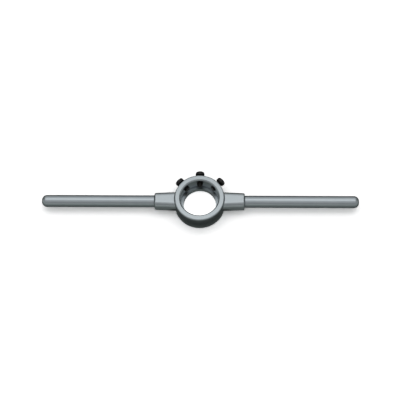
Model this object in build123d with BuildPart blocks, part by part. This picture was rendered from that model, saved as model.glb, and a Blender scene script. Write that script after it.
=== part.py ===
from build123d import *
import os
from math import cos, radians, sin, tan

# Die stock: the two-handed holder that turns a round threading die by hand.
# A cast ring takes the die, two bosses on it carry screwed-in rod handles, and three slotted
# screws in its back wall hold the die: the pointed one in the middle opens the die's split.
# Millimetres and degrees. The origin is on the ring's axis at its underside, X runs along the
# handles, Y points to the middle screw, and Z points up, out of the mouth that takes the die.

# The round die, and the seat, ledge and work hole that are turned for it
die_diameter = 38.0
die_thickness = 14.0
mouth_chamfer = 1.1
ledge_width = 2.8
ledge_thickness = 5.2
seat_relief_depth = 0.4
seat_relief_height = 0.8

# The ring round the die
ring_wall = 5.75
ring_top_rounding = 1.3
ring_bottom_rounding = 0.4

# The bosses: their length, the draft of the casting, and how far the sides and the flats on
# top and underneath stand out past the handle
boss_length = 20.0
boss_draft = 2.0
boss_side_step = 2.5
boss_flat_step = 1.35
boss_edge_rounding = 4.4
boss_end_land = 0.15
boss_fillet = 0.6

# The handles
overall_length = 315.0
handle_diameter = 12.0
handle_tip_flat_diameter = 2.0
handle_shoulder_chamfer = 0.4

# The thread that joins a handle to its boss, as a plain spigot in a plain hole
spigot_diameter = 8.0
spigot_length = 14.0
spigot_chamfer = 0.8
spigot_clearance = 0.05
spigot_hole_spare_depth = 1.5
drill_point_angle = 118.0

# The screws: slotted, with round-edged heads on plain shanks whose ends are chamfered at 45
# degrees. Each is screwed in by its own amount, so each head stands off the ring by its own
screw_diameter = 6.0
screw_clearance = 0.05
screw_head_diameter = 8.8
screw_head_height = 3.7
screw_head_rounding = 1.3
slot_width = 1.5
slot_depth = 1.7
side_screw_angle = 45.0
centre_screw_length = 11.6
centre_point_length = 1.2
centre_stand_off = 2.4
centre_slot_turn = 80.0
side_screw_length = 10.0
side_point_length = 0.5
left_stand_off = 2.0
left_slot_turn = 22.0
right_stand_off = 2.9
right_slot_turn = 65.0

# How far a cutter runs past the wall that it cuts through
cutter_overrun = 1.0

# Sizes worked out from the ones above
die_radius = die_diameter / 2
work_hole_radius = die_radius - ledge_width
ring_radius = die_radius + ring_wall
ring_height = ledge_thickness + die_thickness
ring_wall_middle = die_radius + ring_wall / 2
handle_height = ring_height / 2
handle_radius = handle_diameter / 2
handle_reach = overall_length / 2
handle_tip_rounding = handle_radius - handle_tip_flat_diameter / 2
handle_axis = Axis((0, 0, handle_height), (1, 0, 0))
boss_reach = ring_radius + boss_length
boss_flat_height = handle_radius + boss_flat_step
boss_end_radius = handle_radius + boss_side_step
boss_buried_radius = boss_end_radius + (boss_reach - ring_wall_middle) * tan(radians(boss_draft))
boss_end_rounding = boss_flat_step + handle_shoulder_chamfer - boss_end_land
spigot_radius = spigot_diameter / 2
spigot_hole_radius = spigot_radius + spigot_clearance
spigot_hole_depth = spigot_length + spigot_hole_spare_depth
drill_point_length = spigot_hole_radius / tan(radians(drill_point_angle / 2))
screw_height = ledge_thickness + die_thickness / 2
screw_radius = screw_diameter / 2
screw_hole_radius = screw_radius + screw_clearance


def screw_plane(angle, distance, turn=0.0):
    """Plane square to a screw's axis, facing outwards, `distance` out from the ring's axis.

    `angle` is measured from +Y towards +X. `turn` leans the plane's x direction from upright.
    """
    outwards = Vector(sin(radians(angle)), cos(radians(angle)), 0)
    sideways = Vector(cos(radians(angle)), -sin(radians(angle)), 0)
    lean = Vector(0, 0, cos(radians(turn))) + sideways * sin(radians(turn))
    return Plane(outwards * distance + Vector(0, 0, screw_height), x_dir=lean, z_dir=outwards)


def slotted_screw(angle, stand_off, length, point_length, slot_turn):
    """Slotted screw in the ring's wall at `angle`, its head clear of the wall by `stand_off`."""
    head_seat = ring_radius + stand_off
    with BuildPart() as screw:
        with BuildSketch(screw_plane(angle, head_seat)):
            Circle(screw_head_diameter / 2)
        extrude(amount=screw_head_height)
        outwards = Axis((0, 0, 0), screw_plane(angle, head_seat).z_dir)
        fillet(screw.edges().sort_by(outwards)[-1], screw_head_rounding)
        with BuildSketch(screw_plane(angle, head_seat + screw_head_height, slot_turn)):
            Rectangle(screw_head_diameter, slot_width)
        extrude(amount=-slot_depth, mode=Mode.SUBTRACT)
        with BuildSketch(screw_plane(angle, head_seat)):
            Circle(screw_radius)
        extrude(amount=-length)
        chamfer(screw.edges().sort_by(outwards)[0], point_length)
    return screw


# The holder is one casting. Its ring is a turned section: mouth, seat with a relief groove in
# its corner, ledge and work hole, with the two outer edges rounded. It is drawn on the YZ plane
# to keep the seam of the turned faces clear of the bosses and their fillets.
with BuildPart() as die_holder:
    with BuildSketch(Plane.YZ):
        with BuildLine():
            Polyline(
                (work_hole_radius, 0),
                (ring_radius, 0),
                (ring_radius, ring_height),
                (die_radius + mouth_chamfer, ring_height),
                (die_radius, ring_height - mouth_chamfer),
                (die_radius, ledge_thickness + seat_relief_height),
                (die_radius + seat_relief_depth, ledge_thickness + seat_relief_height),
                (die_radius + seat_relief_depth, ledge_thickness),
                (work_hole_radius, ledge_thickness),
                close=True,
            )
        make_face()
        fillet(vertices().group_by(Axis.X)[-1].sort_by(Axis.Y)[-1], ring_top_rounding)
        fillet(vertices().group_by(Axis.X)[-1].sort_by(Axis.Y)[0], ring_bottom_rounding)
    revolve(axis=Axis.Z)

    # Each boss is lofted from the middle of the ring's wall: a drafted round, flattened to one
    # height on top and underneath, with soft edges between the flats and the sides.
    for reach, radius in ((ring_wall_middle, boss_buried_radius), (boss_reach, boss_end_radius)):
        with BuildSketch(Plane.YZ.offset(reach)):
            with Locations((0, handle_height)):
                Circle(radius)
                Rectangle(2 * radius, 2 * boss_flat_height, mode=Mode.INTERSECT)
            fillet(vertices(), boss_edge_rounding)
    boss = loft()
    mirror(boss, about=Plane.YZ)
    fillet(edges().filter_by(GeomType.BSPLINE), boss_fillet)
    boss_end_edges = edges().group_by(Axis.X)[0] + edges().group_by(Axis.X)[-1]
    fillet(boss_end_edges, boss_end_rounding)

    # Tapped holes for the handles, drilled in from the bosses' ends.
    with BuildSketch(Plane.XZ):
        with BuildLine():
            Polyline(
                (boss_reach, handle_height),
                (boss_reach, handle_height + spigot_hole_radius),
                (boss_reach - spigot_hole_depth, handle_height + spigot_hole_radius),
                (boss_reach - spigot_hole_depth - drill_point_length, handle_height),
                close=True,
            )
        make_face()
    spigot_hole = revolve(axis=handle_axis, mode=Mode.SUBTRACT)
    mirror(spigot_hole, about=Plane.YZ, mode=Mode.SUBTRACT)

    # Tapped holes for the three screws, through the back wall at half the die's thickness.
    for angle in (-side_screw_angle, 0, side_screw_angle):
        with BuildSketch(screw_plane(angle, ring_radius)):
            Circle(screw_hole_radius)
        extrude(amount=-ring_wall - cutter_overrun, mode=Mode.SUBTRACT)

# A handle is a turned rod with a rounded tip. Its shoulder butts against the boss's end face
# and its spigot fills the boss's hole.
with BuildPart() as right_handle:
    with BuildSketch(Plane.XZ):
        with BuildLine():
            Polyline(
                (boss_reach - spigot_length, handle_height),
                (boss_reach - spigot_length, handle_height + spigot_radius),
                (boss_reach, handle_height + spigot_radius),
                (boss_reach, handle_height + handle_radius),
                (handle_reach, handle_height + handle_radius),
                (handle_reach, handle_height),
                close=True,
            )
        make_face()
        chamfer(vertices().group_by(Axis.X)[0].sort_by(Axis.Y)[-1], spigot_chamfer)
        chamfer(vertices().group_by(Axis.Y)[-1].sort_by(Axis.X)[0], handle_shoulder_chamfer)
        fillet(vertices().group_by(Axis.Y)[-1].sort_by(Axis.X)[-1], handle_tip_rounding)
    revolve(axis=handle_axis)

with BuildPart() as left_handle:
    mirror(right_handle.part, about=Plane.YZ)

# The middle screw ends in a blunt point. The side screws end flat, with a broken edge.
centre_screw = slotted_screw(
    0, centre_stand_off, centre_screw_length, centre_point_length, centre_slot_turn
)
left_clamp_screw = slotted_screw(
    -side_screw_angle, left_stand_off, side_screw_length, side_point_length, left_slot_turn
)
right_clamp_screw = slotted_screw(
    side_screw_angle, right_stand_off, side_screw_length, side_point_length, right_slot_turn
)

os.makedirs("parts", exist_ok=True)

die_holder.part.label = "die_holder"
export_step(die_holder.part, "parts/die_holder.step")

left_handle.part.label = "left_handle"
export_step(left_handle.part, "parts/left_handle.step")

right_handle.part.label = "right_handle"
export_step(right_handle.part, "parts/right_handle.step")

centre_screw.part.label = "centre_screw"
export_step(centre_screw.part, "parts/centre_screw.step")

left_clamp_screw.part.label = "left_clamp_screw"
export_step(left_clamp_screw.part, "parts/left_clamp_screw.step")

right_clamp_screw.part.label = "right_clamp_screw"
export_step(right_clamp_screw.part, "parts/right_clamp_screw.step")
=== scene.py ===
import bpy
import numpy as np
from mathutils import Matrix, Vector


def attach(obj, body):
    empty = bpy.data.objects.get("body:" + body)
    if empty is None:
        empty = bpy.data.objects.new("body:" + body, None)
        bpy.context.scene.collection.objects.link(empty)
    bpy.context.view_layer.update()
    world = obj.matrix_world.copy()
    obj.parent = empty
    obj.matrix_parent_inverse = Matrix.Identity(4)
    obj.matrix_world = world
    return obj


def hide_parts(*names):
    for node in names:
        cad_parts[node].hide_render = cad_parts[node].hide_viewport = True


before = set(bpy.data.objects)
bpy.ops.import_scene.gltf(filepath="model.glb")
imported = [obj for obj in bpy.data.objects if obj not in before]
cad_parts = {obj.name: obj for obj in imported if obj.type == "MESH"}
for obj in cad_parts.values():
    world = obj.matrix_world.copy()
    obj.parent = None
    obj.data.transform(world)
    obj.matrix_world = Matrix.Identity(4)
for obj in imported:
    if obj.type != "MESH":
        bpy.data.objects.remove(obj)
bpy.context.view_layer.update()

# A die stock: the two-handed holder that turns a round threading die by hand. It lies on its
# underside with no die in it. Metres; X runs along the handles, Y to the middle screw, Z up.

# ---------------------------------------------------------------------------------------------
# Die holder. One steel casting: a ring with a stepped seat for the die and two bosses for the
# handles. The ring is turned all over, the bosses keep their cast skin, fettled and blasted,
# and the whole is plated with satin chrome.

lathe_line_width = 0.0003
blasted_grain = 0.0004
cloud_on_holder = 0.006
turned_skin_end = 0.0249
cast_skin_start = 0.0256


def linear(code):
    """The linear colour of an sRGB hex value, each channel by the two-part sRGB curve."""
    srgb = np.array([int(code[i : i + 2], 16) for i in (1, 3, 5)]) / 255
    bent = np.where(srgb <= 0.04045, srgb / 12.92, ((srgb + 0.055) / 1.055) ** 2.4)
    return (*bent, 1.0)


def add(tree, kind, feeds=None, **settings):
    """One node of a tree. Settings name its options or its input sockets. Feeds give what goes
    into an input, by its name or number: the output socket of another node, or a value. A Mix
    node takes its two numbers in inputs 2 and 3, and its two colours in inputs 6 and 7."""
    node = tree.nodes.new(kind)
    for name, value in settings.items():
        if hasattr(node, name):
            setattr(node, name, value)
        else:
            node.inputs[name.replace("_", " ")].default_value = value
    for name, source in (feeds or {}).items():
        if isinstance(source, bpy.types.NodeSocket):
            tree.links.new(source, node.inputs[name])
        else:
            node.inputs[name].default_value = source
    return node


def material(name):
    """An empty node material, with its tree and its output node."""
    finish = bpy.data.materials.new(name)
    finish.use_nodes = True
    finish.node_tree.nodes.clear()
    return finish, finish.node_tree, finish.node_tree.nodes.new("ShaderNodeOutputMaterial")


def dress(node, finish):
    """Gives every material slot of a CAD node the one finish."""
    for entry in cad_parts[node].material_slots:
        entry.material = finish


# Satin chrome on a turned and blasted casting. The plate is a cool pale grey and only half
# smooth, so it mirrors the room as soft bands. It dulls a little where it is seen at a glance,
# which its edge tint gives. Round the ring run the fine lines that the lathe tool left, and the
# bosses have a blasted grain. The tool's path is the distance from the axis plus the height, so
# that the lines come out on the flat faces and on the walls alike. The real feed is about
# 0.1 mm a turn and the real grain about 0.1 mm. They are drawn three and four times as coarse,
# so that they show.
holder_finish, tree, output = material("satin_chrome_on_casting")
place = add(tree, "ShaderNodeTexCoord").outputs["Object"]
height = add(tree, "ShaderNodeSeparateXYZ", {0: place}).outputs["Z"]
flat_place = add(
    tree, "ShaderNodeVectorMath", {0: place, 1: (1, 1, 0)}, operation="MULTIPLY"
).outputs[0]
from_axis = add(
    tree, "ShaderNodeVectorMath", {0: flat_place}, operation="LENGTH"
).outputs["Value"]
tool_path = add(tree, "ShaderNodeMath", {0: from_axis, 1: height}, operation="ADD").outputs[0]
lathe_lines = add(
    tree,
    "ShaderNodeTexNoise",
    {"W": tool_path},
    noise_dimensions="1D",
    Scale=1 / lathe_line_width,
    Detail=2.0,
).outputs["Fac"]
grain = add(
    tree, "ShaderNodeTexNoise", {"Vector": place}, Scale=1 / blasted_grain, Detail=3.0
).outputs["Fac"]
cloud = add(
    tree, "ShaderNodeTexNoise", {"Vector": place}, Scale=1 / cloud_on_holder, Detail=3.0
).outputs["Fac"]
on_boss = add(
    tree,
    "ShaderNodeMapRange",
    {"Value": from_axis},
    From_Min=turned_skin_end,
    From_Max=cast_skin_start,
).outputs[0]
relief = add(tree, "ShaderNodeMix", {0: on_boss, 2: lathe_lines, 3: grain}).outputs[0]
skin = add(
    tree, "ShaderNodeBump", {"Height": relief}, Strength=0.35, Distance=0.00003
).outputs[0]
tone = add(
    tree,
    "ShaderNodeMix",
    {"Factor": cloud, 6: linear("#9BA3A7"), 7: linear("#A8AFB2")},
    data_type="RGBA",
).outputs[2]
gloss = add(tree, "ShaderNodeMapRange", {"Value": cloud}, To_Min=0.27, To_Max=0.35).outputs[0]
plate = add(
    tree,
    "ShaderNodeBsdfPrincipled",
    {"Base Color": tone, "Roughness": gloss, "Normal": skin},
    Metallic=1.0,
    Specular_Tint=(0.7, 0.7, 0.7, 1),
).outputs[0]
tree.links.new(plate, output.inputs["Surface"])
dress("die_holder", holder_finish)

# ---------------------------------------------------------------------------------------------
# Handles. Two steel rods, turned with a rounded tip and a screwed spigot, polished on a belt as
# they spin and plated with the same satin chrome. Each is screwed home against its boss.

belt_line_width = 0.0003
cloud_on_rod = 0.008

# The same satin chrome on a belt-polished rod. The belt leaves fine hoops round the rod, about
# 0.1 mm apart and drawn three times as coarse, and a haze that takes most of the shine from its
# edges, so the edge tint is lower still.
handle_finish, tree, output = material("satin_chrome_on_rod")
place = add(tree, "ShaderNodeTexCoord").outputs["Object"]
along_rod = add(tree, "ShaderNodeSeparateXYZ", {0: place}).outputs["X"]
belt_lines = add(
    tree,
    "ShaderNodeTexNoise",
    {"W": along_rod},
    noise_dimensions="1D",
    Scale=1 / belt_line_width,
    Detail=2.0,
).outputs["Fac"]
cloud = add(
    tree, "ShaderNodeTexNoise", {"Vector": place}, Scale=1 / cloud_on_rod, Detail=3.0
).outputs["Fac"]
skin = add(
    tree, "ShaderNodeBump", {"Height": belt_lines}, Strength=0.3, Distance=0.00003
).outputs[0]
tone = add(
    tree,
    "ShaderNodeMix",
    {"Factor": cloud, 6: linear("#9FA8AD"), 7: linear("#ABB2B6")},
    data_type="RGBA",
).outputs[2]
gloss = add(tree, "ShaderNodeMapRange", {"Value": cloud}, To_Min=0.28, To_Max=0.35).outputs[0]
plate = add(
    tree,
    "ShaderNodeBsdfPrincipled",
    {"Base Color": tone, "Roughness": gloss, "Normal": skin},
    Metallic=1.0,
    Specular_Tint=(0.1, 0.1, 0.1, 1),
).outputs[0]
tree.links.new(plate, output.inputs["Surface"])
dress("left_handle", handle_finish)
dress("right_handle", handle_finish)

# ---------------------------------------------------------------------------------------------
# Screws. Three M6 steel screws with slotted, round-edged heads, turned, threaded with a die and
# blackened. They are screwed through the ring's back wall: the middle one has a blunt point
# that opens the die's split, and the two side ones end flat and hold the die.

screw_height = 0.0122
head_radius = 0.0044
head_height = 0.0037
head_rounding = 0.0013
slot_half_width = 0.00075
slot_depth = 0.0017
edge_break = 0.0001
sunk_depth = 0.00005
thread_radius = 0.003
thread_pitch = 0.001
thread_depth = 0.00061
thread_crest_share = 1 / 8
thread_root_share = 1 / 4
shank_in_head = 0.0004
oxide_cloud = 0.001

# Each screw's place round the ring and the turn of its slot, in degrees, with the distance of
# its head's underside from the ring's axis and the lengths of its shank and its point.
screw_sizes = {
    "centre_screw": (0, 80, 0.02715, 0.0116, 0.0012),
    "left_clamp_screw": (-45, 22, 0.02675, 0.01, 0.0005),
    "right_clamp_screw": (45, 65, 0.02765, 0.01, 0.0005),
}


def skinned(name, shells):
    """A mesh of closed shells. A shell is a stack of outlines, rows by points by XYZ, with each
    point joined to its neighbours along the outline and up the stack, and flat ends."""
    points, faces, start = [], [], 0
    for shell in shells:
        rows, count, _ = shell.shape
        here = start + np.arange(rows * count).reshape(rows, count)
        after = np.roll(here, -1, axis=1)
        quads = np.stack((here[:-1], after[:-1], after[1:], here[1:]), axis=-1)
        faces += quads.reshape(-1, 4).tolist()
        faces += [here[0, ::-1].tolist(), here[-1].tolist()]
        points.append(shell.reshape(-1, 3))
        start += rows * count
    mesh = bpy.data.meshes.new(name)
    mesh.from_pydata(np.concatenate(points).tolist(), [], faces)
    mesh.shade_smooth()
    mesh.set_sharp_from_angle(angle=np.radians(35))
    piece = bpy.data.objects.new(name, mesh)
    bpy.context.collection.objects.link(piece)
    return piece


def turned(radii, heights, count=96):
    """A stack of circles round the axis: each height, and the radius there, which may differ
    from point to point."""
    around = np.linspace(0, 2 * np.pi, count, endpoint=False)
    radii = np.broadcast_to(np.reshape(radii, (len(heights), -1)), (len(heights), count))
    heights = np.broadcast_to(np.reshape(heights, (-1, 1)), radii.shape)
    return np.stack((radii * np.cos(around), radii * np.sin(around), heights), axis=-1)


def half_head(radii, chords, heights, side, arc_count=49, chord_count=13):
    """A stack of bows: at each height the arc of a circle beyond a chord, and that chord. The
    arc runs from one corner to the other by equal angles, and the chord by equal steps."""
    radii, chords = np.reshape(radii, (-1, 1)), np.reshape(chords, (-1, 1))
    corner = np.arccos(chords / radii)
    angle = np.linspace(-1, 1, arc_count) * corner
    back = np.linspace(1, -1, chord_count)[1:-1] * np.sin(corner) * radii
    along = np.concatenate((radii * np.sin(angle), back), axis=1)
    chord = np.broadcast_to(chords, back.shape)
    across = np.concatenate((radii * np.cos(angle), chord), axis=1)
    up = np.broadcast_to(np.reshape(heights, (-1, 1)), along.shape)
    return np.stack((-side * along, side * across, up), axis=-1)


def threaded(length, point_length, count=64, rows_per_pitch=14):
    """The shank, as circles from the tip up to inside the head. The radius follows the thread:
    a quarter of the pitch is its root and an eighth its crest, with straight flanks between,
    and the whole turns one pitch up for each turn round. The point cuts it at 45 degrees."""
    rows = int(round((length + shank_in_head) / thread_pitch * rows_per_pitch))
    heights = np.linspace(-length, shank_in_head, rows)
    around = np.arange(count) / count
    phase = (heights[:, None] / thread_pitch - around[None, :]) % 1.0
    from_crest = np.abs(2 * phase - 1)
    flank_share = 1 - thread_crest_share - thread_root_share
    cut = np.clip((from_crest - thread_crest_share) / flank_share, 0, 1)
    point = thread_radius - point_length + (heights + length)
    radii = np.minimum(thread_radius - thread_depth * cut, point[:, None])
    return turned(radii, heights, count)


# Black oxide on steel, oiled. A thin brown-black skin that stays dark from every side and takes
# only a soft sheen. It is a little rubbed, in patches of about 1 mm.
screw_finish, tree, output = material("black_oxide")
place = add(tree, "ShaderNodeTexCoord").outputs["Object"]
cloud = add(
    tree, "ShaderNodeTexNoise", {"Vector": place}, Scale=1 / oxide_cloud, Detail=4.0
).outputs["Fac"]
tone = add(
    tree,
    "ShaderNodeMix",
    {"Factor": cloud, 6: linear("#060706"), 7: linear("#0D0C0B")},
    data_type="RGBA",
).outputs[2]
gloss = add(tree, "ShaderNodeMapRange", {"Value": cloud}, To_Min=0.3, To_Max=0.45).outputs[0]
skin = add(
    tree, "ShaderNodeBump", {"Height": cloud}, Strength=0.2, Distance=0.00002
).outputs[0]
oxide = add(
    tree,
    "ShaderNodeBsdfPrincipled",
    {"Base Color": tone, "Roughness": gloss, "Normal": skin},
    Specular_IOR_Level=0.32,
).outputs[0]
tree.links.new(oxide, output.inputs["Surface"])

# A head is a round puck up to the slot's floor with two lands on it, one on each side of the
# slot. The lands are rounded over at the top, broken along the slot's edges, and sunk a little
# into the puck.
round_over = np.linspace(0, np.pi / 2, 11)
slot_floor = head_height - slot_depth
rounded_heights = head_height - head_rounding * (1 - np.sin(round_over))
rounded_radii = head_radius - head_rounding * (1 - np.cos(round_over))
land_heights = np.concatenate(([slot_floor - sunk_depth, slot_floor], rounded_heights))
land_radii = np.concatenate(([head_radius - sunk_depth, head_radius], rounded_radii))
land_chords = slot_half_width + np.clip(land_heights - head_height + edge_break, 0, None)
land_chords[0] = slot_half_width + sunk_depth
puck_heights = [0, edge_break, slot_floor]
puck_radii = [head_radius - edge_break, head_radius, head_radius]

for node, (angle, slot_turn, head_seat, length, point_length) in screw_sizes.items():
    shells = [
        threaded(length, point_length),
        turned(puck_radii, puck_heights),
        half_head(land_radii, land_chords, land_heights, side=1),
        half_head(land_radii, land_chords, land_heights, side=-1),
    ]
    screw = skinned(f"blackened_{node}", shells)
    # The slot leans from upright by its turn, and the axis points out of the ring's wall.
    a, t = np.radians(angle), np.radians(slot_turn)
    outwards = Vector((np.sin(a), np.cos(a), 0))
    sideways = Vector((np.cos(a), -np.sin(a), 0))
    along_slot = Vector((0, 0, np.cos(t))) + sideways * np.sin(t)
    across_slot = outwards.cross(along_slot)
    turn = Matrix((along_slot, across_slot, outwards)).transposed().to_4x4()
    seat = Matrix.Translation(outwards * head_seat + Vector((0, 0, screw_height)))
    screw.data.transform(seat @ turn)
    screw.data.materials.append(screw_finish)
    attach(screw, node)
    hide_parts(node)

# ---------------------------------------------------------------------------------------------
# Studio floor. A seamless sweep of white paper, flat under the tool and curving up into a low
# wall all round, far from it.

paper_white = linear("#F8F8F8")
burnt_out_white = (1.6, 1.6, 1.6, 1)


def bowl(name, reach, wall_radius, height=0.0):
    """A disc with a wall that curves up round it to 60 degrees: a profile of straight floor and
    then an arc, carried round the axis, with the middle closed by one flat face."""
    middle_radius, floor_rows, arc_rows, count = 0.02, 24, 13, 96
    rise = np.linspace(0, np.radians(60), arc_rows)[1:]
    floor_radii = np.linspace(middle_radius, reach, floor_rows)
    radii = np.concatenate((floor_radii, reach + wall_radius * np.sin(rise)))
    levels = np.concatenate((np.zeros(floor_rows), wall_radius * (1 - np.cos(rise)))) + height
    grid = turned(radii, levels, count)
    here = np.arange(len(radii) * count).reshape(-1, count)
    after = np.roll(here, -1, axis=1)
    faces = np.stack((here[:-1], here[1:], after[1:], after[:-1]), axis=-1)
    faces = faces.reshape(-1, 4).tolist() + [here[0].tolist()]
    mesh = bpy.data.meshes.new(name)
    mesh.from_pydata(grid.reshape(-1, 3).tolist(), [], faces)
    mesh.shade_smooth()
    sheet = bpy.data.objects.new(name, mesh)
    bpy.context.collection.objects.link(sheet)
    return sheet


# Seamless white paper. To the camera, and to metal and glass, it is burnt out to white, as a
# photographer would have it, and only the shadows close to the tool stay. Inside the ring the
# paper also glows, a painted light that takes the ring's shadow out of the open hole, and far
# off it glows more, so that the horizon is white too.
paper, tree, output = material("white_sweep_paper")
path = add(tree, "ShaderNodeLightPath").outputs
camera_or_metal = add(
    tree,
    "ShaderNodeMath",
    {0: path["Is Camera Ray"], 1: path["Is Glossy Ray"]},
    operation="ADD",
).outputs[0]
seen = add(
    tree,
    "ShaderNodeMath",
    {0: camera_or_metal, 1: path["Is Transmission Ray"]},
    operation="ADD",
).outputs[0]
shade = add(
    tree,
    "ShaderNodeMix",
    {"Factor": seen, 6: paper_white, 7: burnt_out_white},
    data_type="RGBA",
).outputs[2]
place = add(tree, "ShaderNodeTexCoord").outputs["Object"]
from_axis = add(tree, "ShaderNodeVectorMath", {0: place}, operation="LENGTH").outputs["Value"]
# Painted light: a glow inside the ring that takes out the ring's shadow in the hole.
painted_light_inside_ring = add(
    tree,
    "ShaderNodeMapRange",
    {"Value": from_axis},
    From_Min=0.017,
    From_Max=0.021,
    To_Min=0.4,
    To_Max=0.0,
).outputs[0]
far_off = add(
    tree,
    "ShaderNodeMapRange",
    {"Value": from_axis},
    From_Min=0.5,
    From_Max=2.0,
    To_Min=0.06,
    To_Max=0.5,
).outputs[0]
painted_glow_lift = add(tree, "ShaderNodeMath", {0: painted_light_inside_ring, 1: far_off}, operation="ADD").outputs[0]
seen_lift = add(tree, "ShaderNodeMath", {0: painted_glow_lift, 1: seen}, operation="MULTIPLY").outputs[0]
glow = add(tree, "ShaderNodeEmission", {"Strength": seen_lift}).outputs[0]
matt = add(tree, "ShaderNodeBsdfDiffuse", {"Color": shade}).outputs[0]
both = add(tree, "ShaderNodeAddShader", {0: matt, 1: glow}).outputs[0]
tree.links.new(both, output.inputs["Surface"])
floor = bowl("studio_sweep", reach=2.4, wall_radius=1.6)
floor.data.materials.append(paper)

# ---------------------------------------------------------------------------------------------
# Painted reflections. A round card with a turned-up rim, laid under the tool, that glows with
# painted tones standing in for the floor, shadows and room that the metal mirrors, so that the
# metal's edges turn dark. It is seen only in the metal.

painted_rings_reach = 0.05
mid_grey_radius = 0.0185
outer_grey_radius = 0.034

# The card's glow is painted, a shade green, in rings round the tool: mid grey under the open
# hole, a painted reflection for the bore; near black just outside the ring's foot, a painted
# contact shadow in the front wall; and grey again beyond, a painted dark floor. Behind the tool
# it is black, a painted shade that draws a dark line along the handles' far edges. Its rim
# glows pale in front and darker behind, a painted reflection of the room.
painted_reflection_card, tree, output = material("card_of_painted_reflections")
place = add(tree, "ShaderNodeTexCoord").outputs["Object"]
from_axis = add(tree, "ShaderNodeVectorMath", {0: place}, operation="LENGTH").outputs["Value"]
across_rings = add(
    tree, "ShaderNodeMapRange", {"Value": from_axis}, From_Min=0.0, From_Max=painted_rings_reach
).outputs[0]
painted_reflection_ramp = add(tree, "ShaderNodeValToRGB", {"Fac": across_rings})
first, last = painted_reflection_ramp.color_ramp.elements
first.position, first.color = mid_grey_radius / painted_rings_reach, linear("#777C79")
last.position, last.color = outer_grey_radius / painted_rings_reach, linear("#7F8380")
# Painted shade: the near-black ring just outside the ring's foot is a painted contact shadow.
for radius, grey in (
    (0.0195, "#5E625F"),
    (0.0275, "#5E625F"),
    (0.0285, "#242624"),
    (0.0325, "#242624"),
):
    ring = painted_reflection_ramp.color_ramp.elements.new(radius / painted_rings_reach)
    ring.color = linear(grey)
depth = add(tree, "ShaderNodeSeparateXYZ", {0: place}).outputs["Y"]
# Painted shade: the card's glow falls to black behind the tool, which gives the handles a
# painted dark far edge.
painted_flat_glow = add(
    tree,
    "ShaderNodeMapRange",
    {"Value": depth},
    From_Min=0.02,
    From_Max=0.06,
    To_Min=1.0,
    To_Max=0.05,
).outputs[0]
# Painted reflection: the rim glows pale in front and darker behind.
painted_rim_glow = add(
    tree,
    "ShaderNodeMapRange",
    {"Value": depth},
    From_Min=0.05,
    From_Max=0.2,
    To_Min=3.1,
    To_Max=1.4,
).outputs[0]
on_rim = add(
    tree, "ShaderNodeMapRange", {"Value": from_axis}, From_Min=0.455, From_Max=0.465
).outputs[0]
strength = add(tree, "ShaderNodeMix", {0: on_rim, 2: painted_flat_glow, 3: painted_rim_glow}).outputs[0]
glow = add(
    tree, "ShaderNodeEmission", {"Color": painted_reflection_ramp.outputs["Color"], "Strength": strength}
).outputs[0]
tree.links.new(glow, output.inputs["Surface"])
# A glowing sheet of painted reflections, hidden from everything but the metal's reflections.
painted_reflection_sheet = bowl("sheet_of_painted_reflections", reach=0.45, wall_radius=0.3, height=0.0002)
painted_reflection_sheet.data.materials.append(painted_reflection_card)
painted_reflection_sheet.visible_camera = False
painted_reflection_sheet.visible_diffuse = False
painted_reflection_sheet.visible_transmission = False
painted_reflection_sheet.visible_shadow = False

# ---------------------------------------------------------------------------------------------
# Studio light. A wide softbox overhead, reaching well behind the tool, with a brighter strip
# light across its middle, in a plain grey room. The room is paler behind the tool, and dark in
# its two rear corners, so that the ring's flanks turn dark.

for name, centre, width, depth, radiance in (
    ("wide_softbox", (0, 0.5, 1.05), 1.6, 2.6, 0.27),
    ("strip_light", (0, 0.28, 1.04), 1.4, 0.54, 0.77),
):
    lamp = bpy.data.lights.new(name, "AREA")
    lamp.shape = "RECTANGLE"
    lamp.size = width
    lamp.size_y = depth
    lamp.energy = radiance * np.pi * width * depth
    panel = bpy.data.objects.new(name, lamp)
    panel.location = centre
    bpy.context.collection.objects.link(panel)

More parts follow.
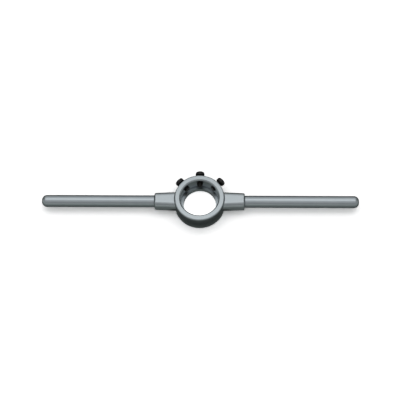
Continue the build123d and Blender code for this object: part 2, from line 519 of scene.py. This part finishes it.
room = bpy.data.worlds.new("grey_room")
room.use_nodes = True
tree = room.node_tree
background = tree.nodes["Background"].inputs
background["Color"].default_value = linear("#FFFFFF")
direction = add(tree, "ShaderNodeTexCoord").outputs["Generated"]
split = add(tree, "ShaderNodeSeparateXYZ", {0: direction}).outputs
open_level = add(
    tree,
    "ShaderNodeMapRange",
    {"Value": split["Y"]},
    From_Min=-0.6,
    From_Max=0.6,
    To_Min=0.42,
    To_Max=0.6,
).outputs[0]
sideways = add(tree, "ShaderNodeMath", {0: split["X"]}, operation="ABSOLUTE").outputs[0]
at_side = add(
    tree,
    "ShaderNodeMapRange",
    {"Value": sideways},
    interpolation_type="SMOOTHSTEP",
    From_Min=0.5,
    From_Max=0.85,
    To_Min=0.0,
    To_Max=0.81,
).outputs[0]
at_rear = add(
    tree,
    "ShaderNodeMapRange",
    {"Value": split["Y"]},
    interpolation_type="SMOOTHSTEP",
    From_Min=0.0,
    From_Max=0.35,
).outputs[0]
darkness = add(
    tree, "ShaderNodeMath", {0: at_side, 1: at_rear}, operation="MULTIPLY"
).outputs[0]
brightness = add(
    tree, "ShaderNodeMath", {0: 1.0, 1: darkness}, operation="SUBTRACT"
).outputs[0]
level = add(
    tree, "ShaderNodeMath", {0: open_level, 1: brightness}, operation="MULTIPLY"
).outputs[0]
tree.links.new(level, background["Strength"])
bpy.context.scene.world = room

# ---------------------------------------------------------------------------------------------
# Camera. It stands high in front, a metre from the middle of the ring, a little to the right
# and not quite level. The small shift brings the ring to its place in the picture.

ring_middle = Vector((0, 0, 0.0096))
camera_distance = 1.0
azimuth, elevation, roll = np.radians((4.8, 64.25, -4.1))

turn = (
    Matrix.Rotation(azimuth, 4, "Z")
    @ Matrix.Rotation(np.pi / 2 - elevation, 4, "X")
    @ Matrix.Rotation(roll, 4, "Z")
)
back_off = Matrix.Translation((0, 0, camera_distance))
lens = bpy.data.cameras.new("photo_camera")
lens.lens = 90.54
lens.sensor_width = 36
lens.shift_x = 0.00085
lens.shift_y = 0.00395
camera = bpy.data.objects.new("photo_camera", lens)
camera.matrix_world = Matrix.Translation(ring_middle) @ turn @ back_off
bpy.context.collection.objects.link(camera)
bpy.context.scene.camera = camera

bpy.context.scene.view_settings.view_transform = "Standard"
